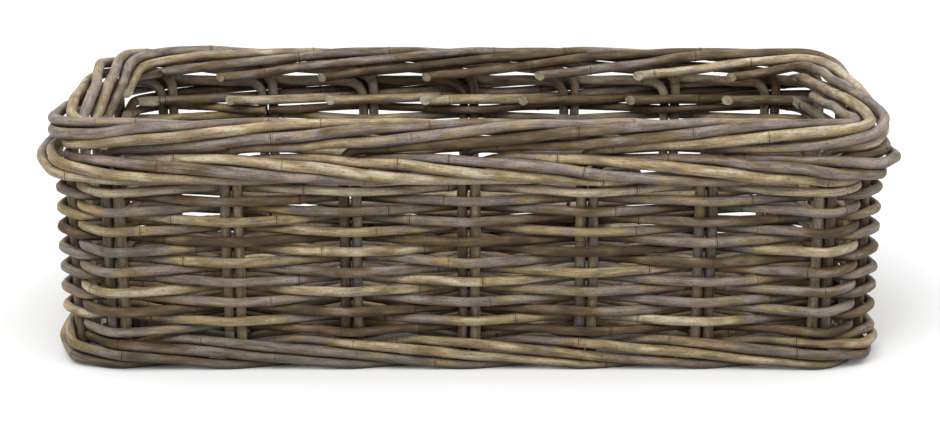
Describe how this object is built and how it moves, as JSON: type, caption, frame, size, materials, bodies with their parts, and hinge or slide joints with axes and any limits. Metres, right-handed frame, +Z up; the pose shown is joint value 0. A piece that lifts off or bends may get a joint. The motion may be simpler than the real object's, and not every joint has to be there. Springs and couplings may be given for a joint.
{
  "type": "rattan basket",
  "caption": "Rectangular open basket of thick round rattan with woven walls, a plaited border and a raised foot, for logs, plants or garden produce.",
  "frame": {"origin": "on the floor under the middle of the basket", "axes": "+X along the length, -Y towards the front, +Z up"},
  "size_m": [0.7324, 0.3486, 0.214],
  "materials": {
    "stake_rattan": "satin",
    "weaver_rattan": "satin",
    "foot_rattan": "satin",
    "base_rattan": "satin"
  },
  "bodies": {
    "root": {"stakes_front_1": "stake_rattan", "stakes_front_2": "stake_rattan", "stakes_front_3": "stake_rattan", "stakes_front_4": "stake_rattan", "stakes_front_5": "stake_rattan", "stakes_front_6": "stake_rattan", "stakes_front_7": "stake_rattan", "stakes_right_1": "stake_rattan", "stakes_right_2": "stake_rattan", "stakes_right_3": "stake_rattan", "stakes_back_1": "stake_rattan", "stakes_back_2": "stake_rattan", "stakes_back_3": "stake_rattan", "stakes_back_4": "stake_rattan", "stakes_back_5": "stake_rattan", "stakes_back_6": "stake_rattan", "stakes_back_7": "stake_rattan", "stakes_left_1": "stake_rattan", "stakes_left_2": "stake_rattan", "stakes_left_3": "stake_rattan", "row_1": "weaver_rattan", "row_2": "weaver_rattan", "row_3": "weaver_rattan", "row_4": "weaver_rattan", "row_5": "weaver_rattan", "row_6": "weaver_rattan", "row_7": "weaver_rattan", "row_8": "weaver_rattan", "row_9": "weaver_rattan", "row_10": "weaver_rattan", "row_11": "weaver_rattan", "row_12": "weaver_rattan", "row_13": "weaver_rattan", "row_14": "weaver_rattan", "row_15": "weaver_rattan", "foot_rod_1": "foot_rattan", "foot_rod_2": "foot_rattan", "foot_rod_3": "foot_rattan", "foot_rod_4": "foot_rattan", "base_sticks": "base_rattan", "base_weavers_odd": "base_rattan", "base_weavers_even": "base_rattan"}
  },
  "joints": []
}
